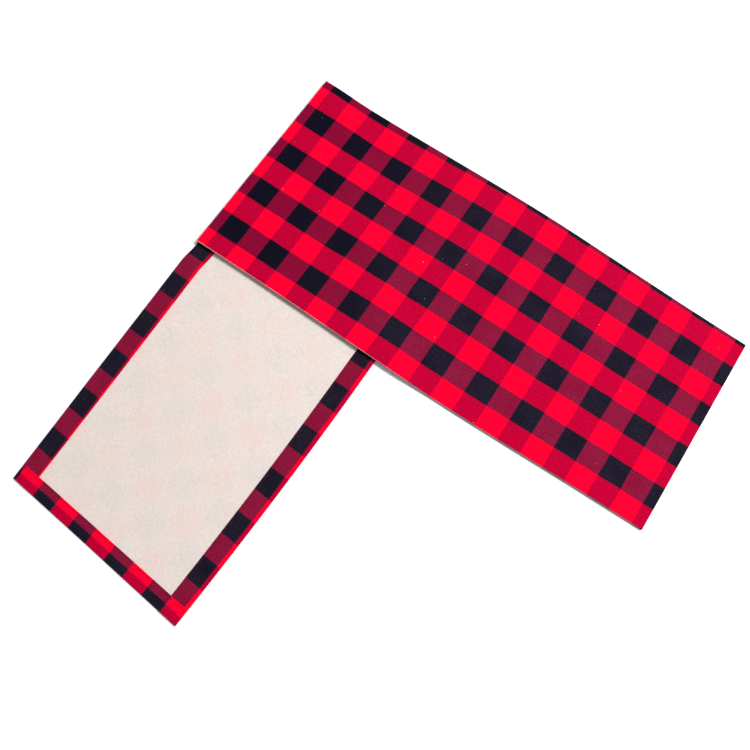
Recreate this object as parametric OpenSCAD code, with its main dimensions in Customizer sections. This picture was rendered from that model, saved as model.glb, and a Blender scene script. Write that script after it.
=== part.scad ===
// Table runner of printed cotton cloth, hemmed all round, folded in thirds and laid as an L.
// The upper arm is two leaves thick: the top leaf, printed face up, over the second leaf, back up.
// The second leaf turns under at the left fold, and the turned leaf then turns the corner on a
// diagonal fold, so that the last leaf lies back up as the lower arm.

/* [Runner] */
// Width of the runner across its two side hems
runner_w = 330; // [250:1:400]
// Length of the upper arm over both folds
upper_len = 760; // [600:1:1000]
// Length of the lower arm that shows past the upper arm
lower_len = 432; // [300:1:700]

/* [Cloth] */
// Thickness of the printed cloth
cloth_t = 0.6; // [0.4:0.1:1.0]
// Thickness that a hem's two turned plies add to the back of the cloth
hem_t = 1.0; // [0.8:0.1:1.6]
// Width of the side hems turned to the back
hem_w = 32; // [20:1:50]
// Width of the two end hems turned to the back
end_hem_w = 24; // [12:1:50]

/* [Stitching] */
// Thickness of the sewing thread
thread_t = 0.4; // [0.3:0.1:0.6]
// Distance of the stitch line from the hem's inner edge
stitch_inset = 3; // [2:0.5:6]

/* [Lay] */
// Air between one leaf and the next
leaf_gap = 0.3; // [0.2:0.1:0.6]
// Distance past the corner fold at which the upper arm starts down to the table
ramp_start = 8; // [6:1:20]
// Distance over which the upper arm comes down to the table
ramp_len = 60; // [40:5:120]

/* [Hidden] */

// Heights: a leaf is its cloth with the hems on its back, and a fold turns about the middle
// of the two leaves that it joins.
leaf_t = cloth_t + hem_t;
level = leaf_t + leaf_gap;
lift = 2 * level;
pair_t = leaf_t + level;
fold_r = pair_t / 2;
core_r = leaf_gap / 2;
stack_h = lift + pair_t;
left_fold_z = lift - leaf_gap / 2;

// Places in plan, from the near left corner of the upper arm. The left fold's axis stands a
// gap outside the top leaf's end, so that the end swings clear of the lower arm.
left_axis_x = -leaf_gap;
right_axis_x = upper_len - fold_r;
leaf_start = left_axis_x + fold_r + leaf_gap;
top_stop = right_axis_x - fold_r - leaf_gap;
corner_sum = runner_w - fold_r * sqrt(2);
far_hem_y = runner_w - hem_w;
stitch_y = hem_w - stitch_inset - thread_t / 2;
end_stitch = end_hem_w - stitch_inset - thread_t / 2;
far_stitch_y = runner_w - stitch_y - thread_t;

// The frame's origin is the middle of the footprint's box, on the table.
origin_x = (upper_len + left_axis_x - fold_r) / 2;
origin_y = (runner_w - lower_len) / 2;

FACE = [0.86, 0.03, 0.16];
BACK = [0.90, 0.86, 0.82];
HEM = [0.50, 0.05, 0.17];
THREAD = [0.62, 0.05, 0.16];
FN = 64;
BIG = 3 * upper_len;

// Moves a piece from the corner where it is drawn to the part's own frame.
module laid() {
    translate([-origin_x, -origin_y, 0]) children();
}

// A box between two corners.
module block(low, high) {
    translate(low) cube(high - low);
}

// A band of cloth between two heights above the table. It is lifted over the corner's two
// leaves, and comes down to the table past the corner fold.
module draped_band(z0, z1) {
    ramp_end = ramp_start + ramp_len;
    translate([runner_w / 2, runner_w / 2, 0])
        rotate([90, 0, 45])
            linear_extrude(height = BIG, center = true)
                polygon([
                    [-BIG, lift + z0], [ramp_start, lift + z0], [ramp_end, z0], [BIG, z0],
                    [BIG, z1], [ramp_end, z1], [ramp_start, lift + z1], [-BIG, lift + z1]
                ]);
}

// The part of a draped band that lies over a rectangle of the upper arm.
module draped(x0, x1, y0, y1, z0, z1) {
    intersection() {
        draped_band(z0, z1);
        block([x0, y0, -1], [x1, y1, stack_h + 1]);
    }
}

// A flat layer of the corner and lower arm, cut off along the corner fold.
module cornered(x0, x1, y0, y1, z0, z1) {
    intersection() {
        block([x0, y0, z0], [x1, y1, z1]);
        linear_extrude(height = stack_h)
            polygon([
                [-hem_w, -BIG], [corner_sum + BIG, -BIG], [-hem_w, corner_sum + hem_w]
            ]);
    }
}

// Half a tube with its axis along Y, open towards -X, from y0 to y1.
module half_tube(inner, outer, y0, y1) {
    translate([0, y1, 0])
        rotate([90, 0, 0])
            linear_extrude(height = y1 - y0)
                intersection() {
                    difference() {
                        circle(r = outer, $fn = FN);
                        circle(r = inner, $fn = FN);
                    }
                    translate([0, -outer]) square([outer, 2 * outer]);
                }
}

// A fold with the back of the cloth inside: the cloth, and the hems within its two ends.
module back_inside_fold(length, hem_len) {
    half_tube(fold_r - cloth_t, fold_r, 0, length);
    half_tube(core_r, fold_r - cloth_t, 0, hem_len);
    half_tube(core_r, fold_r - cloth_t, length - hem_len, length);
}

// A leaf's side hem along the upper arm, less the groove that its stitches lie in.
module draped_hem(x0, x1, y0, z0, groove_y, groove_z) {
    difference() {
        draped(x0, x1, y0, y0 + hem_w, z0, z0 + hem_t);
        draped(x0 - 1, x1 + 1, groove_y, groove_y + thread_t, groove_z, groove_z + thread_t);
    }
}

// The lower arm: the last leaf of the runner, back up.
module lower_leaf() {
    color(BACK) laid() cornered(0, runner_w, -lower_len, runner_w, 0, cloth_t);
}

module lower_side_hem(x0, groove_x) {
    color(HEM) laid() difference() {
        cornered(x0, x0 + hem_w, end_hem_w - lower_len, runner_w, cloth_t, leaf_t);
        cornered(groove_x, groove_x + thread_t, -lower_len, runner_w, leaf_t - thread_t, leaf_t);
    }
}

module lower_side_stitching(x0) {
    color(THREAD) laid()
        cornered(x0, x0 + thread_t, end_hem_w - lower_len, runner_w, leaf_t - thread_t, leaf_t);
}

module lower_left_hem() { lower_side_hem(0, stitch_y); }
module lower_right_hem() { lower_side_hem(far_hem_y, far_stitch_y); }
module lower_left_stitching() { lower_side_stitching(stitch_y); }
module lower_right_stitching() { lower_side_stitching(far_stitch_y); }

module lower_end_hem() {
    color(HEM) laid() translate([0, -lower_len, 0]) difference() {
        block([0, 0, cloth_t], [runner_w, end_hem_w, leaf_t]);
        block([-1, end_stitch, leaf_t - thread_t], [runner_w + 1, end_stitch + thread_t, leaf_t]);
    }
}

module lower_end_stitching() {
    color(THREAD) laid() translate([0, -lower_len, 0])
        block([0, end_stitch, leaf_t - thread_t], [runner_w, end_stitch + thread_t, leaf_t]);
}

// The diagonal fold that turns the corner, cut off square with the runner's two edges.
module corner_fold() {
    color(FACE) laid() intersection() {
        translate([runner_w + fold_r, -fold_r, 0])
            rotate([0, 0, 45])
                translate([-fold_r, 0, fold_r])
                    back_inside_fold((runner_w + 2 * fold_r) * sqrt(2), hem_w * sqrt(2));
        block([0, 0, 0], [runner_w, runner_w, pair_t]);
    }
}

// The triangle of cloth between the left fold and the corner fold, face up.
module turned_leaf() {
    color(FACE) laid() cornered(left_axis_x, runner_w, 0, runner_w, pair_t - cloth_t, pair_t);
}

module turned_hem(y0, groove_y) {
    color(HEM) laid() difference() {
        cornered(left_axis_x, runner_w, y0, y0 + hem_w, level, level + hem_t);
        cornered(left_axis_x - 1, runner_w, groove_y, groove_y + thread_t, level, level + thread_t);
    }
}

module turned_stitching(y0) {
    color(THREAD) laid()
        cornered(left_axis_x, runner_w, y0, y0 + thread_t, level, level + thread_t);
}

module turned_near_hem() { turned_hem(0, stitch_y); }
module turned_far_hem() { turned_hem(far_hem_y, far_stitch_y); }
module turned_near_stitching() { turned_stitching(stitch_y); }
module turned_far_stitching() { turned_stitching(far_stitch_y); }

// The fold at the upper arm's left end, with the printed face inside and the hems outside.
module left_fold() {
    length = corner_sum - left_axis_x;
    color(BACK) laid() translate([left_axis_x, 0, left_fold_z]) mirror([1, 0, 0]) {
        half_tube(core_r, core_r + cloth_t, 0, length);
        half_tube(core_r + cloth_t, fold_r, 0, hem_w);
        half_tube(core_r + cloth_t, fold_r, far_hem_y, length);
    }
}

// The under layer of the upper arm, back up.
module second_leaf() {
    color(BACK) laid() draped(leaf_start, right_axis_x, 0, runner_w, 0, cloth_t);
}

module second_hem(y0, groove_y) {
    color(HEM) laid()
        draped_hem(leaf_start, right_axis_x, y0, cloth_t, groove_y, leaf_t - thread_t);
}

module second_stitching(y0) {
    color(THREAD) laid()
        draped(leaf_start, right_axis_x, y0, y0 + thread_t, leaf_t - thread_t, leaf_t);
}

module second_near_hem() { second_hem(0, stitch_y); }
module second_far_hem() { second_hem(far_hem_y, far_stitch_y); }
module second_near_stitching() { second_stitching(stitch_y); }
module second_far_stitching() { second_stitching(far_stitch_y); }

// The fold at the upper arm's right end, with the back of the cloth inside.
module right_fold() {
    color(FACE) laid() translate([right_axis_x, 0, fold_r]) back_inside_fold(runner_w, hem_w);
}

// The top layer of the upper arm, face up, with its hems underneath.
module top_leaf() {
    color(FACE) laid() draped(0, top_stop, 0, runner_w, pair_t - cloth_t, pair_t);
}

module top_side_hem(y0, groove_y) {
    color(HEM) laid() draped_hem(end_hem_w, top_stop, y0, level, groove_y, level);
}

module top_side_stitching(y0) {
    color(THREAD) laid() draped(end_hem_w, top_stop, y0, y0 + thread_t, level, level + thread_t);
}

module top_near_hem() { top_side_hem(0, stitch_y); }
module top_far_hem() { top_side_hem(far_hem_y, far_stitch_y); }
module top_near_stitching() { top_side_stitching(stitch_y); }
module top_far_stitching() { top_side_stitching(far_stitch_y); }

module top_end_hem() {
    color(HEM) laid() difference() {
        draped(0, end_hem_w, 0, runner_w, level, level + hem_t);
        draped(end_stitch, end_stitch + thread_t, -1, runner_w + 1, level, level + thread_t);
    }
}

module top_end_stitching() {
    color(THREAD) laid()
        draped(end_stitch, end_stitch + thread_t, 0, runner_w, level, level + thread_t);
}

lower_leaf();
lower_left_hem();
lower_right_hem();
lower_end_hem();
lower_left_stitching();
lower_right_stitching();
lower_end_stitching();
corner_fold();
turned_leaf();
turned_near_hem();
turned_far_hem();
turned_near_stitching();
turned_far_stitching();
left_fold();
second_leaf();
second_near_hem();
second_far_hem();
second_near_stitching();
second_far_stitching();
right_fold();
top_leaf();
top_near_hem();
top_far_hem();
top_end_hem();
top_near_stitching();
top_far_stitching();
top_end_stitching();
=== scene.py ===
"""Looks of the folded table runner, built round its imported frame.

The runner is one cotton cloth, printed with a check on its face and undyed on its back, with its four edges
turned to the back as hems. A point of the cloth has three measures: a along the runner from the upper arm's
free left end, b across it from its near edge, and n from the printed face towards the back. Each stretch of
the cloth, a flat leaf or the roll of a fold, says where in the frame such a point lies. The print is drawn
from a and b, so it runs on from one piece to the next. All lengths are in metres.
"""

import logging
import math
from dataclasses import dataclass
from enum import Enum

import bpy
import numpy as np
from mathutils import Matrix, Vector


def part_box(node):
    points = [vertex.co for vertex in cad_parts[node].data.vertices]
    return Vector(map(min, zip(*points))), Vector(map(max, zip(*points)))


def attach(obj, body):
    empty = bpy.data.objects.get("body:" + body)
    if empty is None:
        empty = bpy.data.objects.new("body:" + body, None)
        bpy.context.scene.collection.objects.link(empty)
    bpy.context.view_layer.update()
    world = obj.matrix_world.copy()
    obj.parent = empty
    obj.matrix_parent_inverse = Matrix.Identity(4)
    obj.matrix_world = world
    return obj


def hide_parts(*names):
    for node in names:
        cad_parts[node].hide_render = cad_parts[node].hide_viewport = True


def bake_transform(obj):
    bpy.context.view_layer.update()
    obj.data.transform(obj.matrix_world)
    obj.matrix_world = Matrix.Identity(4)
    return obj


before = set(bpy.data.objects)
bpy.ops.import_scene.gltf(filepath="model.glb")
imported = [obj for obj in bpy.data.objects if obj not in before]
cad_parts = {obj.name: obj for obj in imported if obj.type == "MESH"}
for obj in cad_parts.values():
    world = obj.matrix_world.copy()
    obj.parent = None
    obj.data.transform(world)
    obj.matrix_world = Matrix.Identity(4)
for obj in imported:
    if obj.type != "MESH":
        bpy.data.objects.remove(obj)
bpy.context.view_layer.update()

MM = 0.001
UV_NAME = "cloth"

log = logging.getLogger("runner")
Array = np.ndarray


def smooth(t: Array) -> Array:
    """Smoothstep: 0 below 0, 1 above 1, and 3t^2 - 2t^3 between."""
    t = np.clip(t, 0.0, 1.0)
    return t * t * (3.0 - 2.0 * t)


def bump(x: Array, centre: float, half: float) -> Array:
    """A soft ridge: exp(-((x - centre) / half)^2)."""
    return np.exp(-(((x - centre) / half) ** 2))


# ---------------------------------------------------------------------------------------------
# Sizes
# ---------------------------------------------------------------------------------------------


@dataclass(frozen=True)
class Cut:
    """Sizes and places of the folded runner, read from the frame.

    Plan places are from the near left corner of the upper arm, x along the upper arm and y across it.
    """

    corner_x: float
    corner_y: float
    width: float
    lower: float
    side_hem: float
    end_hem: float
    cloth: float
    hem: float
    lift: float
    left_axis: float
    left_z: float
    right_axis: float
    fold_r: float
    stitch_in: float = 3.2 * MM

    @classmethod
    def read(cls) -> "Cut":
        """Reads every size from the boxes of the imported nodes.

        Returns:
            The runner's sizes.
        """
        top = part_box("top_leaf")
        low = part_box("lower_leaf")
        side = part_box("lower_left_hem")
        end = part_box("lower_end_hem")
        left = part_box("left_fold")
        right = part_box("right_fold")
        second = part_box("second_leaf")
        cloth = low[1].z - low[0].z
        return cls(
            corner_x=top[0].x,
            corner_y=top[0].y,
            width=top[1].y - top[0].y,
            lower=top[0].y - low[0].y,
            side_hem=side[1].x - side[0].x,
            end_hem=end[1].y - end[0].y,
            cloth=cloth,
            hem=side[1].z - side[0].z,
            lift=second[1].z - cloth,
            left_axis=left[1].x - top[0].x,
            left_z=(left[0].z + left[1].z) / 2,
            right_axis=right[0].x - top[0].x,
            fold_r=(right[1].z - right[0].z) / 2,
        )

    @property
    def leaf(self) -> float:
        """Thickness of the cloth with a hem on its back."""
        return self.cloth + self.hem

    @property
    def core(self) -> float:
        """Radius of the air inside a fold."""
        return self.fold_r - self.leaf

    @property
    def upper(self) -> float:
        """Length of the upper arm, to the outside of its right fold."""
        return self.right_axis + self.fold_r

    @property
    def corner_line(self) -> float:
        """The sum x + y on the axis of the corner fold."""
        return self.width - self.fold_r * math.sqrt(2)


# ---------------------------------------------------------------------------------------------
# How the cloth lies
# ---------------------------------------------------------------------------------------------


@dataclass(frozen=True)
class Lie:
    """How the pressed cloth departs from a ruled outline, and how it rolls a little on the table.

    The cloth is drawn in across its width towards both ends. A bulge or a slack is the middle and the half
    width of a soft ridge, as shares of the upper arm's length.
    """

    cut: Cut
    near_in: float = 3 * MM
    near_bow: float = 5.8 * MM
    far_in: float = 12.5 * MM
    far_bow: float = 6.8 * MM
    far_left_out: float = 8 * MM
    slack: float = 7.5 * MM
    slack_skew: float = 2.8 * MM
    slack_left: float = 2.6 * MM
    outer_out: float = 3.2 * MM
    inner_in: float = 2.4 * MM
    end_left_in: float = 7.5 * MM
    end_right_in: float = 17 * MM
    end_left_short: float = 9 * MM
    end_right_long: float = 16.5 * MM
    near_bulge: tuple[float, float] = (0.55, 0.27)
    far_bulge: tuple[float, float] = (0.52, 0.27)
    first_slack: tuple[float, float] = (0.30, 0.25)
    second_slack: tuple[float, float] = (0.71, 0.20)
    crease_hold: float = 0.06
    outer_start: float = 6 * MM
    outer_reach: float = 30 * MM
    roll: float = 0.55 * MM
    roll_reach: float = 70 * MM
    left_still: float = 12 * MM
    right_still: float = 14 * MM
    ramp_start: float = 8 * MM
    ramp: float = 60 * MM

    def upper(self, x: Array, y: Array) -> tuple[Array, Array]:
        """Plan place on the upper arm.

        y is scaled between two edges that close in towards the right end and bow outwards in the middle.
        x drifts along as the cloth's slack does, by nothing at the two creases.

        Args:
            x: place along the upper arm.
            y: place across it.

        Returns:
            The shifted x and y.
        """
        w = self.cut.width
        t = x / self.cut.upper
        near = self.near_in * t - self.near_bow * bump(t, *self.near_bulge)
        far = w + self.far_left_out * (1 - t) - self.far_in * t + self.far_bow * bump(t, *self.far_bulge)
        slack = self.slack - self.slack_skew * y / w
        drift = self.slack_left * bump(t, *self.first_slack) + slack * bump(t, *self.second_slack)
        held = smooth(t / self.crease_hold) * smooth((1 - t) / self.crease_hold)
        return x + drift * held, near + (far - near) * y / w

    def lower(self, x: Array, y: Array) -> tuple[Array, Array]:
        """Plan place on the corner and the lower arm, whose edges close in and whose end is a little askew.

        Args:
            x: place along the upper arm.
            y: place across it, negative on the lower arm.

        Returns:
            The drawn-in x and y.
        """
        w = self.cut.width
        s = np.clip(-y / self.cut.lower, 0, 1)
        k = np.clip(y / w, 0, 1)
        out = self.outer_out * (1 - s) * smooth((-y - self.outer_start) / self.outer_reach)
        left = self.end_left_in * s - out
        right = self.inner_in * (1 - k) + (self.end_right_in - self.inner_in) * s**2
        end = (self.end_right_long * x / w - self.end_left_short * (1 - x / w)) / self.cut.lower
        far = self.far_left_out * k * (1 - x / w)
        return x + left * (1 - x / w) - right * x / w, y * (1 + end * (y < 0)) + far

    def height(self, x: Array, y: Array) -> Array:
        """Slow roll of the whole stack: three long sines added up, which fade out near the two creases."""
        cut = self.cut
        wave = (
            np.sin(2 * np.pi * (x / 0.31 + y / 0.47) + 0.6)
            + 0.7 * np.sin(2 * np.pi * (x / 0.19 - y / 0.26) + 2.1)
            + 0.4 * np.sin(2 * np.pi * (x / 0.13 + y / 0.11) + 4.0)
        )
        clear_left = smooth((np.maximum(x, -y) - self.left_still) / self.roll_reach)
        clear_right = smooth((cut.upper - self.right_still - x) / self.roll_reach)
        return self.roll * (0.5 + wave / 4.2) * clear_left * clear_right

    def lifted(self, x: Array, y: Array) -> Array:
        """Height of the upper arm's underside: over the corner's leaves, then smoothly down to the table."""
        u = (x + y - self.cut.width) / math.sqrt(2)
        return self.cut.lift * (1 - smooth((u - self.ramp_start) / self.ramp))


class Stretch:
    """A stretch of the cloth: where its points lie, and how far along the runner they are."""

    def __init__(self, lie: Lie) -> None:
        """Keeps how the cloth lies."""
        self.lie = lie
        self.cut = lie.cut

    def place(self, p: Array, b: Array, n: Array) -> Array:
        """Where cloth points lie.

        Args:
            p: place along the stretch, in its own measure.
            b: distance across the runner from its near edge.
            n: depth from the printed face towards the back.

        Returns:
            Points in the frame, with a last axis of 3.
        """
        raise NotImplementedError

    def along(self, p: Array, b: Array) -> Array:
        """Distance along the runner of the points at p and b."""
        raise NotImplementedError

    def in_frame(self, x: Array, y: Array, z: Array) -> Array:
        """Moves layout places to the frame, whose origin is elsewhere in plan."""
        return np.stack(np.broadcast_arrays(x + self.cut.corner_x, y + self.cut.corner_y, z), axis=-1)


@dataclass(frozen=True)
class Course:
    """Distances along the runner at which its stretches start."""

    cut: Cut

    @property
    def outer_arc(self) -> float:
        """Length of cloth round a fold with the face outside."""
        return math.pi * (self.cut.fold_r - self.cut.cloth / 2)

    @property
    def inner_arc(self) -> float:
        """Length of cloth round a fold with the face inside."""
        return math.pi * (self.cut.core + self.cut.cloth / 2)

    @property
    def right(self) -> float:
        """Start of the right fold."""
        return self.cut.right_axis

    @property
    def second(self) -> float:
        """Start of the second leaf, at the right fold's axis."""
        return self.right + self.outer_arc

    @property
    def left(self) -> float:
        """Start of the left fold."""
        return self.second + self.cut.right_axis - self.cut.left_axis

    @property
    def turned(self) -> float:
        """Start of the turned leaf, at the left fold's axis."""
        return self.left + self.inner_arc

    @property
    def lower(self) -> float:
        """Distance along the runner of the lower leaf where y is 0."""
        reach = self.cut.corner_line - self.cut.left_axis
        return self.turned + reach + self.outer_arc / math.sqrt(2)


class TopLeaf(Stretch):
    """The leaf on top of the upper arm, face up. p is x."""

    sag = 0.4 * MM
    sag_reach = 14 * MM
    crease_clear = 6 * MM
    crease_reach = 30 * MM
    lap_reach = 45 * MM

    def place(self, p: Array, b: Array, n: Array) -> Array:
        """Face at the top of the stack, with a sag between the hems and a rise at the thick end corners."""
        cut = self.cut
        x, y = self.lie.upper(p, b)
        low = smooth((b - cut.side_hem) / self.sag_reach)
        low = low * smooth((cut.width - cut.side_hem - b) / self.sag_reach)
        low = low * smooth((p - cut.end_hem) / self.sag_reach)
        low = low * smooth((cut.right_axis - self.crease_clear - p) / self.crease_reach)
        raised = corner_lap(cut, b) * (1 - smooth((p - cut.end_hem) / self.lap_reach))
        z = self.lie.lifted(p, b) + 2 * cut.fold_r - n - self.sag * low + raised
        return self.in_frame(x, y, z + self.lie.height(x, y))

    def along(self, p: Array, b: Array) -> Array:
        """a is x."""
        return p + 0 * b


class SecondLeaf(Stretch):
    """The leaf under the top one, back up. p is x."""

    tuck = 4.0 * MM
    tuck_reach = 50 * MM
    left_clear = 12 * MM
    right_clear = 5 * MM

    def place(self, p: Array, b: Array, n: Array) -> Array:
        """Face down on what is below, its near edge tucked in a little between the two creases."""
        cut = self.cut
        x, y = self.lie.upper(p, b)
        held = smooth((p - self.left_clear) / self.tuck_reach)
        held = held * smooth((cut.right_axis - self.right_clear - p) / self.tuck_reach)
        y = y + self.tuck * held * (1 - b / cut.width)
        z = self.lie.lifted(p, b) + n
        return self.in_frame(x, y, z + self.lie.height(x, y))

    def along(self, p: Array, b: Array) -> Array:
        """a grows as x falls."""
        return Course(self.cut).second + self.cut.right_axis - p + 0 * b


class TurnedLeaf(Stretch):
    """The corner's upper leaf, face up. p runs from 0 at the left fold to 1 at the corner fold."""

    tuck = 4.0 * MM
    tuck_reach = 0.12

    def x_at(self, p: Array, b: Array) -> Array:
        """x at p, on a row that ends at the corner fold."""
        cut = self.cut
        length = np.maximum(cut.corner_line - b - cut.left_axis, 0.2 * MM)
        return cut.left_axis + p * length

    def place(self, p: Array, b: Array, n: Array) -> Array:
        """Face at the top of the corner's two leaves, its near edge tucked in a little between the folds."""
        x0 = self.x_at(p, b)
        x, y = self.lie.lower(x0, b + 0 * p)
        held = smooth(p / self.tuck_reach) * smooth((1 - p) / self.tuck_reach)
        y = y + self.tuck * held * (1 - b / self.cut.width)
        return self.in_frame(x, y, 2 * self.cut.fold_r - n + self.lie.height(x, y))

    def along(self, p: Array, b: Array) -> Array:
        """a grows with x."""
        return Course(self.cut).turned + self.x_at(p, b) - self.cut.left_axis


class LowerLeaf(Stretch):
    """The lower arm, back up. p runs from 0 at its hemmed end to 1 near the corner fold."""

    def y_at(self, p: Array, b: Array) -> Array:
        """y at p, on a row that ends at the corner fold's own strip."""
        cut = self.cut
        top = cut.corner_line - cut.width + b - CornerFold.leg * math.sqrt(2)
        return -cut.lower + p * (top + cut.lower)

    def place(self, p: Array, b: Array, n: Array) -> Array:
        """Face down on the table."""
        x, y = self.lie.lower(self.cut.width - b + 0 * p, self.y_at(p, b))
        return self.in_frame(x, y, n + self.lie.height(x, y))

    def along(self, p: Array, b: Array) -> Array:
        """a grows as y falls."""
        return Course(self.cut).lower - self.y_at(p, b)


class Fold(Stretch):
    """The roll of a fold with a short leg of cloth on either side.

    p is the length of cloth from where the roll starts: a leg before 0, the roll up to its arc, and a leg
    after it. pressed is how far the roll stands out, as a share of a full half circle.
    """

    leg_before = 0.0
    leg_after = 0.0
    pressed = 1.0

    def arc(self) -> float:
        """Length of cloth round the roll."""
        return Course(self.cut).outer_arc

    def parts(self, p: Array) -> tuple[Array, Array, Array]:
        """Splits p into the leg before, the angle from the top of the roll, and the leg after."""
        arc = self.arc()
        return np.maximum(-p, 0), np.clip(p / arc, 0, 1) * math.pi, np.maximum(p - arc, 0)

    def stations(self, step: float = 1 * MM) -> Array:
        """Values of p for the strip's rings, close together where the roll opens."""
        arc = self.arc()
        near = np.linspace(0.44, 0.56, 15)
        turn = np.concatenate([np.linspace(0, 0.42, 8), near, np.linspace(0.58, 1, 8)]) * arc
        before = -np.linspace(self.leg_before, 0, max(2, round(self.leg_before / step) + 1))[:-1]
        after = arc + np.linspace(0, self.leg_after, max(2, round(self.leg_after / step) + 1))[1:]
        return np.concatenate([before, turn, after])


class RightFold(Fold):
    """The upper arm's right end, with the back of the cloth inside."""

    leg_before = 4 * MM
    leg_after = 4 * MM
    pressed = 0.55

    def place(self, p: Array, b: Array, n: Array) -> Array:
        """x = axis + pressed r sin(t) - leg and z = r + r cos(t), with r the outer radius less the depth."""
        before, t, after = self.parts(p)
        r = self.cut.fold_r - n
        x, y = self.lie.upper(self.cut.right_axis + self.pressed * r * np.sin(t) - before - after, b + 0 * p)
        return self.in_frame(x, y, self.cut.fold_r + r * np.cos(t))

    def along(self, p: Array, b: Array) -> Array:
        """a runs on from the top leaf."""
        return Course(self.cut).right + p + 0 * b


class LeftFold(Fold):
    """The upper arm's left end below the top leaf, with the face of the cloth inside."""

    leg_before = 9 * MM
    leg_after = 0.05 * MM
    pressed = 0.3

    def arc(self) -> float:
        """Length of cloth round the roll."""
        return Course(self.cut).inner_arc

    def place(self, p: Array, b: Array, n: Array) -> Array:
        """x = axis - pressed r sin(t) + leg and z = axis + r cos(t), with r the core radius and the depth."""
        before, t, after = self.parts(p)
        r = self.cut.core + n
        x, y = self.lie.upper(self.cut.left_axis - self.pressed * r * np.sin(t) + before + after, b + 0 * p)
        return self.in_frame(x, y, self.cut.left_z + r * np.cos(t))

    def along(self, p: Array, b: Array) -> Array:
        """a runs on from the second leaf."""
        return Course(self.cut).left + p + 0 * b


class CornerFold(Fold):
    """The diagonal fold that turns the corner, with the back of the cloth inside."""

    leg = 8 * MM
    leg_before = 0.05 * MM
    leg_after = leg

    def place(self, p: Array, b: Array, n: Array) -> Array:
        """A half roll about the line x + y = corner_line; rows of equal b slide along it as they turn."""
        cut = self.cut
        before, t, after = self.parts(p)
        r = cut.fold_r - n
        slide = (cut.width - cut.corner_line) * t / math.pi
        out = r * np.sin(t) / math.sqrt(2)
        x0 = cut.corner_line + slide - b - before * math.sqrt(2)
        y0 = b - slide - after * math.sqrt(2)
        x, y = self.lie.lower(x0, y0)
        z = cut.fold_r + r * np.cos(t) + self.lie.height(x, y)
        return self.in_frame(x + out, y + out, z)

    def along(self, p: Array, b: Array) -> Array:
        """a runs on from the turned leaf, by the step of a slanting row."""
        course = Course(self.cut)
        before, t, after = self.parts(p)
        start = course.turned + self.cut.corner_line - b - self.cut.left_axis
        arc = self.arc() * t / math.pi / math.sqrt(2)
        return start + arc + (after - before) * math.sqrt(2)


# ---------------------------------------------------------------------------------------------
# Cross sections of the cloth
# ---------------------------------------------------------------------------------------------

LAP_SHARE = 0.85
SEAM_DEPTH = 0.28 * MM
SEAM_HALF = 1.3 * MM
FACE_DEPTH = 0.13 * MM
FACE_HALF = 1.2 * MM
PRINT_LAG = 8.2 * MM
LAG_FROM = 1.50
LAG_OVER = 0.35
EASED_SHARE = 0.85
EASED_FROM = 2.05
EASED_OVER = 0.25


def corner_lap(cut: Cut, b: Array) -> Array:
    """Extra thickness of an end hem where it laps over the two side hems."""
    step = 3.5 * MM
    near = 1 - smooth((b - cut.side_hem) / step)
    far = 1 - smooth((cut.width - cut.side_hem - b) / step)
    return cut.hem * LAP_SHARE * np.maximum(near, far)


def seam_dip(cut: Cut, e: Array, hem: float) -> Array:
    """Groove that the stitches pull in the hem, e being the distance in from the folded edge."""
    return SEAM_DEPTH * bump(e, hem - cut.stitch_in, SEAM_HALF)


def hem_section(cut: Cut, hem: float, leaf: Array) -> tuple[Array, Array, Array, Array]:
    """Outline of a turned hem with the rounded edge of the cloth, printed side outwards.

    The outline goes round the edge (a half circle), in over the back of the hem, round its inner fold, and
    back over the cloth.

    Args:
        cut: the runner's sizes.
        hem: the hem's width.
        leaf: thickness of the leaf there, of any shape; the outline is the last axis added to it.

    Returns:
        Distance in from the edge, depth, print distance past the edge (negative), and a weight that is 1 on
        the hem's upper ply.
    """
    leaf = np.asarray(leaf, float)[..., None]
    r = leaf / 2
    ply = cut.hem / 2
    t = np.linspace(-np.pi / 2, np.pi / 2, 9)
    flat = np.concatenate([np.linspace(0.02, 0.80, 10), hem_line(cut, hem) / hem])
    inner = np.linspace(np.pi / 2, -np.pi / 2, 7)
    under = np.array([0.75, 0.5, 0.25])
    stop = hem - ply
    e_flat = r + flat * (stop - r)
    e = np.concatenate(
        [
            r - r * np.cos(t),
            e_flat,
            stop + ply * np.cos(inner) + 0 * r,
            r + under * (stop - r),
            r,
        ],
        axis=-1,
    )
    depth = np.concatenate(
        [
            r + r * np.sin(t),
            leaf - seam_dip(cut, e_flat, hem),
            leaf - ply + ply * np.sin(inner),
            leaf - cut.hem + 0 * under,
            leaf - cut.hem,
        ],
        axis=-1,
    )
    step = np.hypot(np.diff(e, axis=-1), np.diff(depth, axis=-1))
    travel = np.concatenate([0 * r, np.cumsum(step, axis=-1)], axis=-1)
    ply_weight = np.zeros(e.shape[-1])
    ply_weight[len(t) : len(t) + len(flat)] = 1
    return e, depth, r - travel, ply_weight


def hem_line(cut: Cut, hem: float) -> Array:
    """Distances from the edge at which a hem's outline has points round its stitch line."""
    return hem - cut.stitch_in + np.linspace(-3, 2.4, 10) * MM


def across(cut: Cut) -> Array:
    """Distances across the cloth of a leaf's columns, closer together at the hems' inner edges."""
    half = cut.width / 2
    edge = cut.leaf / 2
    left = np.concatenate(
        [
            [edge],
            np.linspace(4 * MM, cut.side_hem - 8 * MM, 5),
            hem_line(cut, cut.side_hem),
            np.linspace(cut.side_hem + 2 * MM, cut.side_hem + 18 * MM, 6),
            np.linspace(cut.side_hem + 26 * MM, half, 14),
        ]
    )
    return np.concatenate([left, (cut.width - left[:-1])[::-1]])


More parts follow.
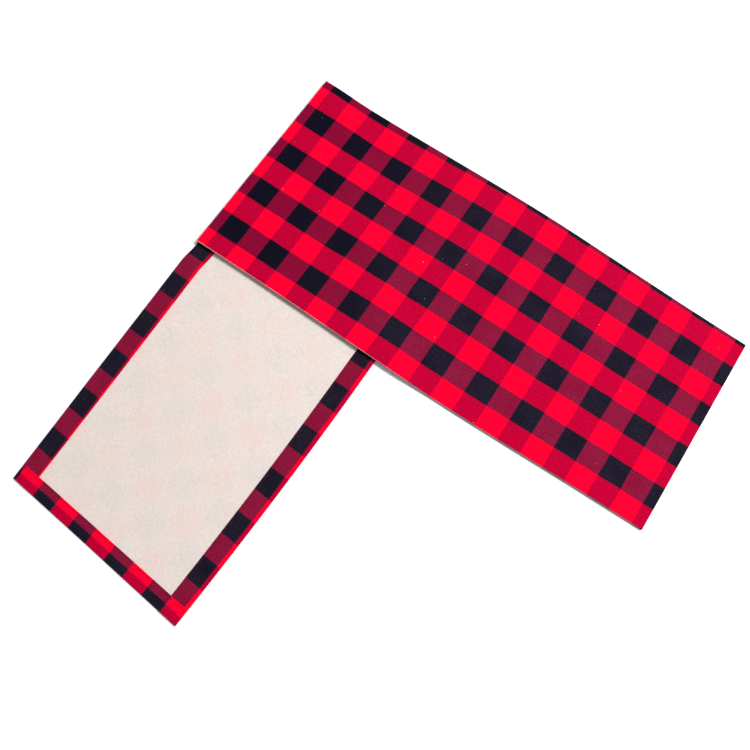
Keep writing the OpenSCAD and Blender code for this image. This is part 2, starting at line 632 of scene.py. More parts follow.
def face_dip(cut: Cut, b: Array) -> Array:
    """Slight groove on the printed face over each side hem's stitch line."""
    line = cut.side_hem - cut.stitch_in
    return FACE_DEPTH * (bump(b, line, FACE_HALF) + bump(b, cut.width - line, FACE_HALF))


def cloth_section(cut: Cut) -> tuple[Array, Array, Array]:
    """Outline of a leaf's single cloth between its two rounded edges.

    Args:
        cut: the runner's sizes.

    Returns:
        Distance across, depth, and whether the outline's next step lies on the back.
    """
    b = across(cut)
    ring = np.concatenate([b, b[::-1]])
    depth = np.concatenate([face_dip(cut, b), np.full(len(b), cut.cloth)])
    back = np.concatenate([np.zeros(len(b), bool), np.ones(len(b), bool)])
    return ring, depth, back


def whole_section(cut: Cut) -> tuple[Array, Array, Array, Array]:
    """Outline of the cloth with its two side hems, for the strips that roll round a fold.

    Args:
        cut: the runner's sizes.

    Returns:
        Distance across, depth, print distance across, and whether the outline's next step is the bare back.
    """
    e, depth, t, _ = hem_section(cut, cut.side_hem, np.array(cut.leaf))
    stop = len(e) - 4
    face = across(cut)[1:-1]
    middle = np.linspace(cut.side_hem + 4 * MM, cut.width - cut.side_hem - 4 * MM, 30)
    b = np.concatenate([e[:stop], middle, cut.width - e[:stop][::-1], face[::-1]])
    n = np.concatenate([depth[:stop], 0 * middle + cut.cloth, depth[:stop][::-1], face_dip(cut, face)[::-1]])
    printed = np.concatenate([t[:stop], middle, cut.width - t[:stop][::-1], face[::-1]])
    back = np.zeros(len(b), bool)
    back[stop - 1 : stop + len(middle)] = True
    return b, n, printed, back


def print_along(a: Array) -> Array:
    """Distance along the print at a.

    It lags by PRINT_LAG across the turned leaf and gets most of that back along the lower leaf. The lag is
    fitted: it sets where the lower arm's checks fall, and has no known cause.
    """
    gained = smooth((a - LAG_FROM) / LAG_OVER)
    lost = EASED_SHARE * smooth((a - EASED_FROM) / EASED_OVER)
    return a - PRINT_LAG * gained * (1 - lost)


# ---------------------------------------------------------------------------------------------
# Meshes
# ---------------------------------------------------------------------------------------------


def tube_faces(points: Array, count: int, size: int) -> tuple[Array, list[Array]]:
    """Faces of a closed tube of rings, turned outwards.

    Point (i, j) is joined to (i + 1, j) and (i, j + 1), j going round the ring. The faces point outwards when
    the sum of (a - centre) . (c - a) x (d - b), over the four corners a, b, c and d of each, is not negative.

    Args:
        points: the points, ring after ring.
        count: how many rings there are.
        size: how many points a ring has.

    Returns:
        The faces between rings, and the one at each end.
    """
    i, j = np.meshgrid(np.arange(count - 1), np.arange(size), indexing="ij")
    k = (j + 1) % size
    corners = [i * size + j, i * size + k, (i + 1) * size + k, (i + 1) * size + j]
    quads = np.stack(corners, -1).reshape(-1, 4)
    a, b, c, d = (points[quads[:, m]] for m in range(4))
    volume = np.einsum("ij,ij->i", a - points.mean(0), np.cross(c - a, d - b)).sum()
    caps = [np.arange(size)[::-1], (count - 1) * size + np.arange(size)]
    if volume < 0:
        return quads[:, ::-1], [cap[::-1] for cap in caps]
    return quads, caps


@dataclass
class Shell:
    """A closed mesh being put together: points, their place on the print, faces and their materials."""

    points: Array
    prints: Array
    faces: list
    finishes: Array

    @classmethod
    def sweep(cls, rings: Array, prints: Array, back: Array) -> "Shell":
        """Joins rings of points into a closed shell, with a face at each end.

        Args:
            rings: points of shape (rings, points in a ring, 3).
            prints: the print measures a and b of each point.
            back: for each point of a ring, whether the step to the next one lies on the bare back.

        Returns:
            The shell, its faces turned outwards.
        """
        count, size = rings.shape[:2]
        points = rings.reshape(-1, 3)
        quads, caps = tube_faces(points, count, size)
        finishes = np.concatenate([np.tile(back.astype(int), count - 1), [0, 0]])
        return cls(points, prints.reshape(-1, 2), quads.tolist() + [c.tolist() for c in caps], finishes)

    def joined(self, other: "Shell", finish: int) -> "Shell":
        """This shell and another one that takes the given material number throughout."""
        start = len(self.points)
        faces = self.faces + [[start + v for v in face] for face in other.faces]
        return Shell(
            np.concatenate([self.points, other.points]),
            np.concatenate([self.prints, other.prints]),
            faces,
            np.concatenate([self.finishes, np.full(len(other.faces), finish)]),
        )

    def build(self, name: str, materials: list[bpy.types.Material]) -> bpy.types.Object:
        """Makes the Blender object, at the origin, with the print's measures as its UV map.

        Args:
            name: the piece's name.
            materials: the materials that the finishes count through.

        Returns:
            The object, linked to the scene.
        """
        mesh = bpy.data.meshes.new(name)
        mesh.from_pydata(self.points.tolist(), [], self.faces)
        for material in materials:
            mesh.materials.append(material)
        mesh.polygons.foreach_set("material_index", self.finishes.astype(np.int32))
        corner = np.zeros(len(mesh.loops), np.int32)
        mesh.loops.foreach_get("vertex_index", corner)
        layer = mesh.uv_layers.new(name=UV_NAME)
        places = np.stack([print_along(self.prints[:, 0]), self.prints[:, 1]], -1)
        layer.data.foreach_set("uv", places[corner].astype(np.float32).ravel())
        mesh.shade_smooth()
        mesh.set_sharp_from_angle(angle=math.radians(50))
        mesh.update()
        piece = bpy.data.objects.new(name, mesh)
        bpy.context.scene.collection.objects.link(piece)
        return piece


@dataclass(frozen=True)
class Stitch:
    """One lockstitch: a short thread with tapered ends, half sunk in the cloth."""

    pitch: float = 3.0 * MM
    half: float = 1.25 * MM
    wide: float = 0.24 * MM
    high: float = 0.20 * MM
    slant: float = 0.10 * MM

    def rows(self, stretch: Stretch, p: Array, b: Array, n: Array, dp: Array, db: Array, side: int) -> Shell:
        """Places one stitch at each centre.

        A stitch's points are c + h s along the seam and w r cos(t) across it, with a rise of v r sin(t).

        Args:
            stretch: the stretch of cloth that they lie on.
            p: centres along the stretch.
            b: centres across the cloth.
            n: depths of the centres.
            dp: change in p for a metre along the seam and for a metre across it, as a pair.
            db: change in b, the same way.
            side: 1 on the back of the cloth, -1 on its face.

        Returns:
            All the stitches as one shell.
        """
        s = np.array([-1.0, -0.8, -0.3, 0.3, 0.8, 1.0])[:, None]
        r = np.array([0.25, 0.75, 1.0, 1.0, 0.75, 0.25])[:, None]
        rings, sides = len(s), 6
        t = np.arange(sides)[None, :] * 2 * math.pi / sides
        lead = (s * self.half + 0 * t).ravel()
        wide = (r * self.wide * np.cos(t) + self.slant * s).ravel()
        rise = (r * self.high * np.sin(t)).ravel()
        at_p = p[:, None] + dp[0] * lead + dp[1] * wide
        at_b = b[:, None] + db[0] * lead + db[1] * wide
        at_n = n[:, None] + side * rise
        points = stretch.place(at_p, at_b, at_n).reshape(-1, 3)
        prints = np.stack(np.broadcast_arrays(stretch.along(at_p, at_b), at_b), -1).reshape(-1, 2)
        quads, ends = tube_faces(points[: rings * sides], rings, sides)
        start = (np.arange(len(p)) * rings * sides)[:, None, None]
        faces = (quads[None] + start).reshape(-1, 4).tolist()
        faces += (np.array(ends)[None] + start).reshape(-1, sides).tolist()
        return Shell(points, prints, faces, np.zeros(len(faces), int))


STITCH = Stitch()
FACE_SUNK = 0.29 * MM
END_FACE_SUNK = 0.17 * MM
BACK_SUNK = 0.8
CURL_REACH = 14 * MM


# ---------------------------------------------------------------------------------------------
# Shader building blocks
# ---------------------------------------------------------------------------------------------

Socket = bpy.types.NodeSocket
Value = float | Socket


class Wiring:
    """Adds nodes to a material's or group's tree and joins them."""

    def __init__(self, tree: bpy.types.NodeTree) -> None:
        """Keeps the tree."""
        self.tree = tree

    def node(self, kind: str, **settings: object) -> bpy.types.Node:
        """A new node of that type with those settings."""
        made = self.tree.nodes.new(kind)
        for name, value in settings.items():
            setattr(made, name, value)
        return made

    def put(self, socket: Socket, value: object) -> None:
        """Links a socket, or sets it to a plain value."""
        if isinstance(value, bpy.types.NodeSocket):
            self.tree.links.new(value, socket)
        else:
            socket.default_value = value

    def math(self, operation: str, *values: Value, clamp: bool = False) -> Socket:
        """A Math node's result."""
        made = self.node("ShaderNodeMath", operation=operation, use_clamp=clamp)
        for socket, value in zip(made.inputs, values):
            self.put(socket, value)
        return made.outputs[0]

    def split(self, vector: Socket) -> tuple[Socket, Socket, Socket]:
        """The three parts of a vector."""
        made = self.node("ShaderNodeSeparateXYZ")
        self.put(made.inputs[0], vector)
        return made.outputs[0], made.outputs[1], made.outputs[2]

    def vector(self, x: Value, y: Value, z: Value = 0.0) -> Socket:
        """A vector of three parts."""
        made = self.node("ShaderNodeCombineXYZ")
        for socket, value in zip(made.inputs, (x, y, z)):
            self.put(socket, value)
        return made.outputs[0]

    def blend(self, share: Value, first: object, second: object, mode: str = "MIX") -> Socket:
        """A mix of two colours."""
        made = self.node("ShaderNodeMix", data_type="RGBA", blend_type=mode)
        self.put(made.inputs["Factor"], share)
        self.put(made.inputs[6], first)
        self.put(made.inputs[7], second)
        return made.outputs[2]

    def range(self, value: Value, low: Value, high: Value, to: tuple[float, float] = (0.0, 1.0)) -> Socket:
        """A value carried smoothly from one range to another, and held at its ends."""
        made = self.node("ShaderNodeMapRange", interpolation_type="SMOOTHSTEP")
        for socket, item in zip(made.inputs, (value, low, high, to[0], to[1])):
            self.put(socket, item)
        return made.outputs[0]

    def noise(self, vector: Socket, scale: Value, detail: float = 2.0, roughness: float = 0.5) -> Socket:
        """Smooth noise from 0 to 1."""
        made = self.node("ShaderNodeTexNoise")
        self.put(made.inputs["Vector"], vector)
        self.put(made.inputs["Scale"], scale)
        made.inputs["Detail"].default_value = detail
        made.inputs["Roughness"].default_value = roughness
        return made.outputs["Fac"]


@dataclass(frozen=True)
class Port:
    """A named input or output of a shader node group."""

    name: str
    kind: str = "NodeSocketFloat"
    value: object = None


Group = tuple[bpy.types.NodeTree, Wiring, dict, dict]


def new_group(name: str, inputs: list[Port], outputs: list[Port]) -> Group:
    """Makes an empty shader node group with its sockets.

    Args:
        name: the group's name.
        inputs: its inputs, with their plain values.
        outputs: its outputs.

    Returns:
        The group, its wiring, its inputs by name as sockets to read, and its outputs by name as sockets
        to feed.
    """
    tree = bpy.data.node_groups.new(name, "ShaderNodeTree")
    for port in inputs:
        made = tree.interface.new_socket(port.name, in_out="INPUT", socket_type=port.kind)
        if port.value is not None:
            made.default_value = port.value
    for port in outputs:
        tree.interface.new_socket(port.name, in_out="OUTPUT", socket_type=port.kind)
    entry = tree.nodes.new("NodeGroupInput")
    leave = tree.nodes.new("NodeGroupOutput")
    read = {port.name: entry.outputs[port.name] for port in inputs}
    feed = {port.name: leave.inputs[port.name] for port in outputs}
    return tree, Wiring(tree), read, feed


VECTOR = "NodeSocketVector"
COLOUR = "NodeSocketColor"


@dataclass(frozen=True)
class PrintInks:
    """The four colours of the printed check, as linear light, and the check's size and place."""

    bright: tuple[float, float, float, float] = (0.88, 0.0004, 0.027, 1)
    crimson: tuple[float, float, float, float] = (0.445, 0.0004, 0.029, 1)
    maroon: tuple[float, float, float, float] = (0.205, 0.0018, 0.0265, 1)
    black: tuple[float, float, float, float] = (0.0043, 0.0038, 0.0100, 1)
    check: float = 36.3 * MM
    column_start: float = 0.45
    row_start: float = 0.745
    row_drift: float = 0.165
    row_return: float = 0.105


class Effects:
    """The shader node groups that the finishes share, each built once."""

    def __init__(self, inks: PrintInks) -> None:
        """Builds every group."""
        self.inks = inks
        self.check = self.make_check()
        self.weave = self.make_weave()
        self.lint = self.make_lint()
        self.painted_highlight = self.make_painted_highlight()

    def make_check(self) -> bpy.types.NodeTree:
        """The printed check.

        Columns are dark where sin(pi (a / size - start)) is above 0, and rows by the same rule on b. A dark
        row and a dark column print black, a dark row alone maroon, a dark column alone crimson, and neither
        bright.

        Returns:
            The group, with the colour, and masks of the dark row and of the dark column.
        """
        inks = self.inks
        ports = [
            Port("Cloth", VECTOR),
            Port("Check", value=inks.check),
            Port("Column Start", value=inks.column_start),
            Port("Row Start", value=inks.row_start),
            Port("Softness", value=0.022),
        ]
        outs = [Port("Color", COLOUR), Port("Dark Row"), Port("Dark Column")]
        tree, w, read, feed = new_group("printed check", ports, outs)
        a, b, _ = w.split(read["Cloth"])
        drift = w.range(a, 0.11, 0.38, (0.0, inks.row_drift))
        drift_back = w.range(a, 0.9, 1.5, (0.0, inks.row_return))
        start = w.math("SUBTRACT", w.math("ADD", read["Row Start"], drift), drift_back)
        wander = w.math("MULTIPLY_ADD", w.noise(read["Cloth"], 28.0, 1.0), 0.05, -0.025)
        fray = w.math("MULTIPLY_ADD", w.noise(read["Cloth"], 900.0, 2.0), 0.024, -0.012)
        off = w.math("ADD", wander, fray)
        masks = []
        for measure, phase in ((a, read["Column Start"]), (b, start)):
            turn = w.math("SUBTRACT", w.math("DIVIDE", measure, read["Check"]), phase)
            wave = w.math("SINE", w.math("MULTIPLY", w.math("ADD", turn, off), math.pi))
            soft = w.math("MULTIPLY", read["Softness"], math.pi)
            masks.append(w.range(wave, w.math("MULTIPLY", soft, -1.0), soft))
        column, row = masks
        light = w.blend(column, inks.bright, inks.crimson)
        dark = w.blend(column, inks.maroon, inks.black)
        w.put(feed["Color"], w.blend(row, light, dark))
        w.put(feed["Dark Row"], row)
        w.put(feed["Dark Column"], column)
        return tree

    def make_weave(self) -> bpy.types.NodeTree:
        """Plain weave: threads one over, one under, with thick places in some of them.

        A thread's section is |sin|. The warp lies over the weft where the cell numbers add up to an even
        number.

        Returns:
            The group, with the height, the shade of single threads, and the slubs.
        """
        ports = [Port("Cloth", VECTOR), Port("Pitch", value=0.6 * MM), Port("Slub", value=0.5)]
        outs = [Port("Height"), Port("Shade"), Port("Slubs")]
        tree, w, read, feed = new_group("plain weave", ports, outs)
        wobble = w.math("MULTIPLY_ADD", w.noise(read["Cloth"], 160.0, 2.0), 0.9 * MM, -0.45 * MM)
        a, b, _ = w.split(read["Cloth"])
        u = w.math("DIVIDE", w.math("ADD", a, wobble), read["Pitch"])
        v = w.math("DIVIDE", w.math("SUBTRACT", b, wobble), read["Pitch"])
        cell = w.math("ADD", w.math("FLOOR", u), w.math("FLOOR", v))
        odd = w.math("FLOORED_MODULO", cell, 2.0)
        across_u = w.math("ABSOLUTE", w.math("SINE", w.math("MULTIPLY", u, math.pi)))
        across_v = w.math("ABSOLUTE", w.math("SINE", w.math("MULTIPLY", v, math.pi)))
        warp = w.math("MULTIPLY", across_u, w.math("MULTIPLY_ADD", across_v, 0.5, 0.5))
        weft = w.math("MULTIPLY", across_v, w.math("MULTIPLY_ADD", across_u, 0.5, 0.5))
        even = w.math("SUBTRACT", 1.0, odd)
        height = w.math("ADD", w.math("MULTIPLY", warp, even), w.math("MULTIPLY", weft, odd))
        fine_a, fine_b = w.math("MULTIPLY", a, 900.0), w.math("MULTIPLY", b, 900.0)
        slow_a, slow_b = w.math("MULTIPLY", a, 110.0), w.math("MULTIPLY", b, 110.0)
        long_u = w.noise(w.vector(fine_a, slow_b), 1.0, 2.0, 0.6)
        long_v = w.noise(w.vector(slow_a, fine_b, 7.0), 1.0, 2.0, 0.6)
        slubs = w.math("ADD", w.math("MULTIPLY", long_u, 0.5), w.math("MULTIPLY", long_v, 0.5))
        thick = w.range(slubs, 0.38, 0.68)
        total = w.math("ADD", height, w.math("MULTIPLY", w.math("MULTIPLY", thick, read["Slub"]), 1.6))
        w.put(feed["Height"], total)
        w.put(feed["Shade"], w.math("ADD", w.math("MULTIPLY", height, 0.45), w.math("MULTIPLY", thick, 0.55)))
        w.put(feed["Slubs"], thick)
        return tree

    def make_lint(self) -> bpy.types.NodeTree:
        """Specks of lint: small spots round the few cell points whose own number is high."""
        ports = [
            Port("Cloth", VECTOR),
            Port("Cell", value=11 * MM),
            Port("Size", value=0.06),
            Port("Share", value=0.25),
        ]
        tree, w, read, feed = new_group("lint", ports, [Port("Mask")])
        cells = w.node("ShaderNodeTexVoronoi")
        scale = w.math("DIVIDE", 1.0, read["Cell"])
        w.put(cells.inputs["Vector"], read["Cloth"])
        w.put(cells.inputs["Scale"], scale)
        number, size_seed, _ = w.split(cells.outputs["Color"])
        chosen = w.math("LESS_THAN", number, read["Share"])
        reach = w.math("MULTIPLY", read["Size"], w.math("MULTIPLY_ADD", size_seed, 1.2, 0.4))
        spot = w.range(cells.outputs["Distance"], reach, w.math("MULTIPLY", reach, 0.4))
        w.put(feed["Mask"], w.math("MULTIPLY", spot, chosen))
        return tree

    def make_painted_highlight(self) -> bpy.types.NodeTree:
        """A painted highlight along a pressed edge: a broken pale line beside one value of b.

        The line is strongest at the start of the runner and fades along it.

        Returns:
            The group, with the mask of the painted highlight.
        """
        ports = [
            Port("Cloth", VECTOR),
            Port("Edge", value=0.0),
            Port("Width", value=1.5 * MM),
            Port("Fade", value=0.7),
        ]
        tree, w, read, feed = new_group("painted edge highlight", ports, [Port("Mask")])
        a, b, _ = w.split(read["Cloth"])
        away = w.math("ABSOLUTE", w.math("SUBTRACT", b, read["Edge"]))
        ragged = w.noise(read["Cloth"], 420.0, 3.0, 0.6)
        reach = w.math("MULTIPLY", read["Width"], w.math("MULTIPLY_ADD", ragged, 1.4, 0.3))
        line = w.range(away, reach, w.math("MULTIPLY", reach, 0.35))
        fade = w.range(a, 0.0, read["Fade"], (1.0, 0.15))
        along = w.vector(w.math("MULTIPLY", a, 40.0), 0.0)
        patches = w.range(w.noise(along, 1.0, 2.0), 0.25, 0.6, (0.45, 1.0))
        w.put(feed["Mask"], w.math("MULTIPLY", line, w.math("MULTIPLY", fade, patches)))
        return tree


@dataclass(frozen=True)
class Finish:
    """A cloth or thread surface: what it is called, and how rough, deep and fuzzy it is."""

    name: str
    roughness: float
    relief: float
    sheen: float
    sheen_tint: tuple[float, float, float, float]
    pitch: float = 0.6 * MM

    def start(self) -> tuple[bpy.types.Material, Wiring, bpy.types.Node, Socket]:
        """An empty material with its shader.

        Returns:
            The material, its wiring, the Principled shader and the cloth measures from the UV map.
        """
        material = bpy.data.materials.new(self.name)
        material.use_nodes = True
        material.node_tree.nodes.clear()
        w = Wiring(material.node_tree)
        shader = w.node("ShaderNodeBsdfPrincipled")
        out = w.node("ShaderNodeOutputMaterial")
        w.put(out.inputs["Surface"], shader.outputs["BSDF"])
        shader.inputs["Roughness"].default_value = self.roughness
        shader.inputs["Specular IOR Level"].default_value = 0.015
        shader.inputs["Sheen Weight"].default_value = self.sheen
        shader.inputs["Sheen Roughness"].default_value = 0.45
        shader.inputs["Sheen Tint"].default_value = self.sheen_tint
        cloth = w.node("ShaderNodeUVMap", uv_map=UV_NAME).outputs[0]
        return material, w, shader, cloth

    def emboss(self, w: Wiring, shader: bpy.types.Node, height: Socket) -> None:
        """Joins a height to the shader's normal."""
        made = w.node("ShaderNodeBump")
        made.inputs["Strength"].default_value = 0.6
        made.inputs["Distance"].default_value = self.relief
        w.put(made.inputs["Height"], height)
        w.put(shader.inputs["Normal"], made.outputs["Normal"])


def place_group(w: Wiring, tree: bpy.types.NodeTree, **values: object) -> bpy.types.Node:
    """Puts a node group into a tree; underscores in the names stand for spaces."""
    made = w.node("ShaderNodeGroup", node_tree=tree)
    for name, value in values.items():
        w.put(made.inputs[name.replace("_", " ")], value)
    return made


@dataclass(frozen=True)
class PrintedFinish(Finish):
    """The printed face: the check, its uneven ink, lint, a painted sheen on the dark rows, and a painted
    highlight along an edge where there is one.
    """

    shift: float = 0.0
    lint_share: float = 0.16
    highlight_line: float | None = None

    def make(self, effects: Effects) -> bpy.types.Material:
        """Builds the material.

        Args:
            effects: the shared shader groups.

        Returns:
            The material.
        """
        material, w, shader, cloth = self.start()
        inks = effects.inks
        check = place_group(w, effects.check, Cloth=cloth, Column_Start=inks.column_start + self.shift)
        weave = place_group(w, effects.weave, Cloth=cloth, Pitch=self.pitch)
        fine = w.noise(cloth, 430.0, 3.0, 0.65)
        broad = w.noise(cloth, 30.0, 2.0)
        fuzz = w.noise(w.vector(*w.split(cloth)[:2], 3.0), 520.0, 2.0, 0.6)
        # Colour of the pale highlight painted along a pressed edge.
        cotton = (0.72, 0.63, 0.61, 1)
        ink = check.outputs["Color"]
        uneven = w.range(fine, 0.25, 0.75, (0.72, 1.26))
        mottled = w.blend(1.0, ink, w.vector(uneven, uneven, uneven), "MULTIPLY")
        soft = w.range(weave.outputs["Shade"], 0.1, 1.0, (0.84, 1.12))
        threads = w.blend(1.0, mottled, w.vector(soft, soft, soft), "MULTIPLY")
        a, _, _ = w.split(cloth)
        # Painted sheen: a faint pale violet lift on the dark rows, in a fine fuzzy pattern, weaker near the
        # runner's left end.
        painted_sheen = w.math("MULTIPLY", w.range(a, 0.05, 0.4, (0.12, 1.0)), w.range(broad, 0.2, 0.8, (0.6, 1.4)))
        painted_sheen = w.math("MULTIPLY", painted_sheen, w.range(fuzz, 0.3, 0.7, (0.0, 0.020)))
        painted_sheen = w.math("MULTIPLY", painted_sheen, check.outputs["Dark Row"])
        sheened = w.blend(painted_sheen, threads, (0.70, 0.50, 0.83, 1))
        lint = place_group(w, effects.lint, Cloth=cloth, Share=self.lint_share)
        specked = w.blend(w.math("MULTIPLY", lint.outputs["Mask"], 0.35), sheened, (0.75, 0.72, 0.80, 1))
        # A pale line painted along one edge as a highlight, strongest at the runner's start and fading along
        # it.
        if self.highlight_line is not None:
            painted_highlight = place_group(w, effects.painted_highlight, Cloth=cloth, Edge=self.highlight_line)
            specked = w.blend(w.math("MULTIPLY", painted_highlight.outputs["Mask"], 0.95), specked, cotton)
        w.put(shader.inputs["Base Color"], specked)
        w.put(shader.inputs["Roughness"], w.range(weave.outputs["Shade"], 0.0, 1.0, (0.92, self.roughness)))
        self.emboss(w, shader, weave.outputs["Height"])
        return material


@dataclass(frozen=True)
class BackFinish(Finish):
    """The undyed back: cream cotton with slubs, and the print showing through very faintly."""

    def make(self, effects: Effects) -> bpy.types.Material:
        """Builds the material.

        Args:
            effects: the shared shader groups.

        Returns:
            The material.
        """
        material, w, shader, cloth = self.start()
        check = place_group(w, effects.check, Cloth=cloth, Softness=0.12)
        weave = place_group(w, effects.weave, Cloth=cloth, Pitch=self.pitch, Slub=0.9)
        row, column = check.outputs["Dark Row"], check.outputs["Dark Column"]
        both = w.math("MULTIPLY", row, column)
        neither = w.math("MULTIPLY", w.math("SUBTRACT", 1.0, row), w.math("SUBTRACT", 1.0, column))
        cream = (0.703, 0.620, 0.574, 1)
        patchy = w.range(w.noise(cloth, 22.0, 3.0), 0.3, 0.7, (0.7, 1.0))
        bare = w.math("MULTIPLY", neither, w.math("MULTIPLY", patchy, 0.60))
        pink = w.blend(bare, cream, (0.735, 0.572, 0.536, 1))
        grey = w.blend(w.math("MULTIPLY", both, 0.45), pink, (0.650, 0.597, 0.558, 1))
        soft = w.range(weave.outputs["Shade"], 0.1, 1.0, (0.90, 1.08))
        threads = w.blend(1.0, grey, w.vector(soft, soft, soft), "MULTIPLY")
        broad = w.range(w.noise(cloth, 330.0, 3.0, 0.65), 0.25, 0.75, (0.93, 1.06))
        w.put(shader.inputs["Base Color"], w.blend(1.0, threads, w.vector(broad, broad, broad), "MULTIPLY"))
        w.put(shader.inputs["Roughness"], w.range(weave.outputs["Shade"], 0.0, 1.0, (0.95, self.roughness)))
        self.emboss(w, shader, weave.outputs["Height"])
        return material


@dataclass(frozen=True)
class ThreadFinish(Finish):
    """Sewing thread: dark red, with the twist of its plies."""

    def make(self, effects: Effects) -> bpy.types.Material:
        """Builds the material.

        Args:
            effects: the shared shader groups.

        Returns:
            The material.
        """
        material, w, shader, cloth = self.start()
        place = w.node("ShaderNodeTexCoord").outputs["Object"]
        x, y, _ = w.split(place)
        twist = w.math("SINE", w.math("MULTIPLY", w.math("ADD", x, y), 2 * math.pi / (0.5 * MM)))
        uneven = w.range(w.noise(cloth, 300.0, 2.0), 0.3, 0.7, (0.8, 1.15))
        shade = w.math("MULTIPLY", uneven, w.math("MULTIPLY_ADD", twist, 0.12, 0.95))
        red = w.blend(1.0, (0.16, 0.004, 0.020, 1), w.vector(shade, shade, shade), "MULTIPLY")
        w.put(shader.inputs["Base Color"], red)
        self.emboss(w, shader, twist)
        return material


class Dress:
    """All the materials of the runner."""

    def __init__(self) -> None:
        """Builds the shared groups, then each finish."""
        inks = PrintInks()
        effects = Effects(inks)
        tint = (1.0, 0.75, 0.8, 1)
        printed = dict(roughness=0.85, relief=0.10 * MM, sheen=0.0, sheen_tint=tint)
        self.face = PrintedFinish(name="printed_face", **printed).make(effects)
        self.hem = PrintedFinish(name="printed_hem", lint_share=0.12, **printed).make(effects)
        # This hem's material has a pale highlight painted along the rounded near edge.
        self.edge = PrintedFinish(name="printed_hem_highlit", highlight_line=-4.1 * MM, **printed).make(effects)
        self.end = PrintedFinish(name="printed_end_hem", shift=-0.14, **printed).make(effects)
        self.back = BackFinish("undyed_back", 0.85, 0.14 * MM, 0.0, (1, 1, 1, 1)).make(effects)
        self.thread = ThreadFinish("sewing_thread", 0.55, 0.05 * MM, 0.05, tint).make(effects)


# ---------------------------------------------------------------------------------------------
# Pieces
# ---------------------------------------------------------------------------------------------


class Slot(Enum):
    """The record's material slots."""

    CLOTH = "printed_cotton"
    HEM = "hem_cotton"
    THREAD = "thread"


class Edge(Enum):
    """The two long edges of the runner."""

    NEAR = "near"
    FAR = "far"


def cloth_at(cut: Cut, edge: Edge, e: Array) -> Array:
    """Distance across the runner of a point that is e in from one of its edges."""
    return e if edge is Edge.NEAR else cut.width - e


def pucker(cut: Cut, a: Array, e: Array, hem: float) -> Array:
    """Small ripples that the sewing draws in a hem, strongest at the stitch line."""
    ripple = np.sin(2 * np.pi * a / (6.5 * MM)) + 0.7 * np.sin(2 * np.pi * a / (10.3 * MM) + 1.3)
    return 0.07 * MM * ripple * bump(e, hem - 0.8 * cut.stitch_in, 5 * MM)


